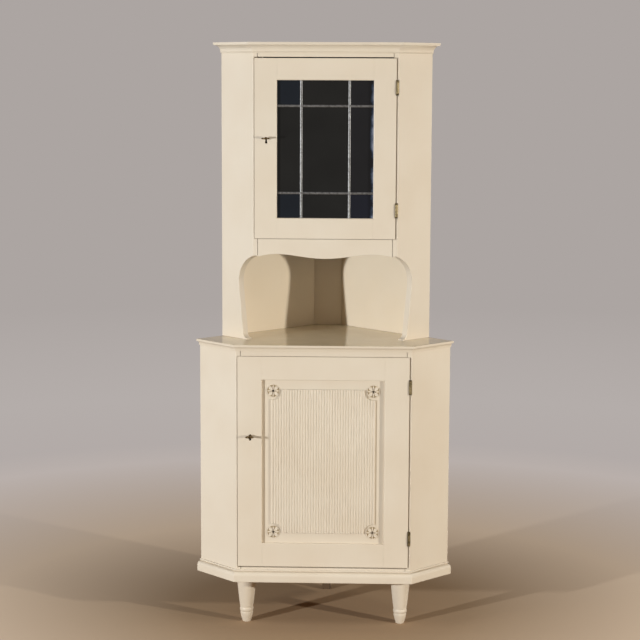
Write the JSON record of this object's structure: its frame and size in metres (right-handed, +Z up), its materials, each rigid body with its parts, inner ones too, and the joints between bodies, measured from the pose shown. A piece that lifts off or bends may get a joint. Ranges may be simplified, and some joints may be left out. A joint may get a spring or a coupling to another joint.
{
  "type": "corner cupboard",
  "caption": "Painted corner cupboard: a glazed upper cupboard on scalloped feet over an open niche, on a lower cupboard with a reeded panel door and turned legs.",
  "frame": {"origin": "on the floor, under the middle of the whole cupboard's bounding box, its keys included", "axes": "+Z up, +X to the right seen from the front, +Y from the front towards the corner of the room"},
  "size_m": [0.8454, 0.527, 1.9],
  "materials": {
    "cream_paint": "satin",
    "top_paint": "satin",
    "niche_paint": "matte",
    "inside_paint": "matte",
    "raw_pine": "matte",
    "glass": "polished",
    "lead": "dull",
    "aged_bronze": "aged",
    "black_iron": "matte"
  },
  "bodies": {
    "carcass": {"lower_return_left": "cream_paint", "lower_return_right": "cream_paint", "lower_back_left": "raw_pine", "lower_back_right": "raw_pine", "lower_rear_board": "raw_pine", "lower_bottom_board": "raw_pine", "lower_shelf": "raw_pine", "lower_bottom_rail": "cream_paint", "lower_top_rail": "cream_paint", "plinth_moulding": "cream_paint", "countertop": "top_paint", "front_leg_left": "cream_paint", "front_leg_right": "cream_paint", "rear_leg": "cream_paint", "lower_lock_stile": "cream_paint", "upper_return_left": "cream_paint", "upper_return_right": "cream_paint", "upper_back_left": "niche_paint", "upper_back_right": "niche_paint", "upper_rear_board": "niche_paint", "upper_bottom_board": "inside_paint", "upper_top_board": "raw_pine", "upper_shelf": "inside_paint", "upper_top_rail": "cream_paint", "apron": "cream_paint", "cornice": "cream_paint", "upper_lock_stile": "cream_paint", "lower_bottom_hinge_fixed_leaf": "aged_bronze", "lower_top_hinge_fixed_leaf": "aged_bronze", "upper_bottom_hinge_fixed_leaf": "aged_bronze", "upper_top_hinge_fixed_leaf": "aged_bronze"},
    "lower_door": {"lower_door_lock_stile": "cream_paint", "lower_door_hinge_stile": "cream_paint", "lower_door_bottom_rail": "cream_paint", "lower_door_top_rail": "cream_paint", "lower_bottom_hinge_door_leaf": "aged_bronze", "lower_top_hinge_door_leaf": "aged_bronze", "lower_lock_case": "black_iron", "reeded_panel": "cream_paint"},
    "upper_door": {"upper_door_lock_stile": "cream_paint", "upper_door_hinge_stile": "cream_paint", "upper_door_bottom_rail": "cream_paint", "upper_door_top_rail": "cream_paint", "upper_bottom_hinge_door_leaf": "aged_bronze", "upper_top_hinge_door_leaf": "aged_bronze", "upper_lock_case": "black_iron", "pane_row_1_column_1": "glass", "pane_row_1_column_2": "glass", "pane_row_1_column_3": "glass", "pane_row_2_column_1": "glass", "pane_row_2_column_2": "glass", "pane_row_2_column_3": "glass", "pane_row_3_column_1": "glass", "pane_row_3_column_2": "glass", "pane_row_3_column_3": "glass", "lead_cames": "lead"},
    "lower_key": {"lower_key": "aged_bronze"},
    "upper_key": {"upper_key": "aged_bronze"},
    "lower_bolt": {"lower_lock_bolt": "black_iron"},
    "upper_bolt": {"upper_lock_bolt": "black_iron"}
  },
  "joints": [
    {"name": "lower_door_hinge", "type": "hinge", "parent": "carcass", "child": "lower_door", "pos_m": [0.28, -0.2239, 0.55], "axis": [0, 0, 1], "range_deg": [0, 150]},
    {"name": "upper_door_hinge", "type": "hinge", "parent": "carcass", "child": "upper_door", "pos_m": [0.23, -0.1384, 1.56], "axis": [0, 0, 1], "range_deg": [0, 150]},
    {"name": "lower_key_turn", "type": "hinge", "parent": "lower_door", "child": "lower_key", "pos_m": [-0.237, -0.2235, 0.6402], "axis": [0, -1, 0], "range_deg": [0, 180]},
    {"name": "upper_key_turn", "type": "hinge", "parent": "upper_door", "child": "upper_key", "pos_m": [-0.1905, -0.138, 1.595], "axis": [0, -1, 0], "range_deg": [0, 180]},
    {"name": "lower_bolt_slide", "type": "slide", "parent": "lower_door", "child": "lower_bolt", "axis": [-1, 0, 0], "range_m": [0, 0.01]},
    {"name": "upper_bolt_slide", "type": "slide", "parent": "upper_door", "child": "upper_bolt", "axis": [-1, 0, 0], "range_m": [0, 0.01]}
  ],
  "couplings": [
    {"joint": "lower_bolt_slide", "follows": "lower_key_turn", "m_per_rad": 0.00318},
    {"joint": "upper_bolt_slide", "follows": "upper_key_turn", "m_per_rad": 0.00318}
  ]
}
